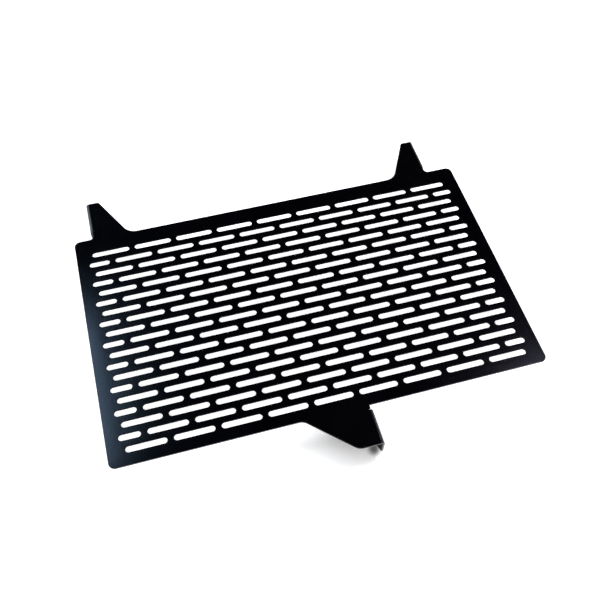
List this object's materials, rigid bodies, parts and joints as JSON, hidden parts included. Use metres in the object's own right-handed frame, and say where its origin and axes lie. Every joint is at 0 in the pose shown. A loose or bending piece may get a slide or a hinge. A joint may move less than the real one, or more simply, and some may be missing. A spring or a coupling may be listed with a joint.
{
  "type": "motorcycle radiator guard",
  "caption": "Slotted black sheet-metal guard with three clipped ears, each bent back into a bolting tongue with one round hole.",
  "frame": {"origin": "under the middle of the whole sheet, level with the tips of the three bent tongues", "axes": "+X along the rows of slots to the guard's right, +Y up the sheet towards the two top ears, +Z out of the front face, so the guard lies face up on its tongues"},
  "size_m": [0.3434, 0.2806, 0.026],
  "materials": {
    "black_coat": "satin"
  },
  "bodies": {
    "root": {"guard_plate": "black_coat"}
  },
  "joints": []
}
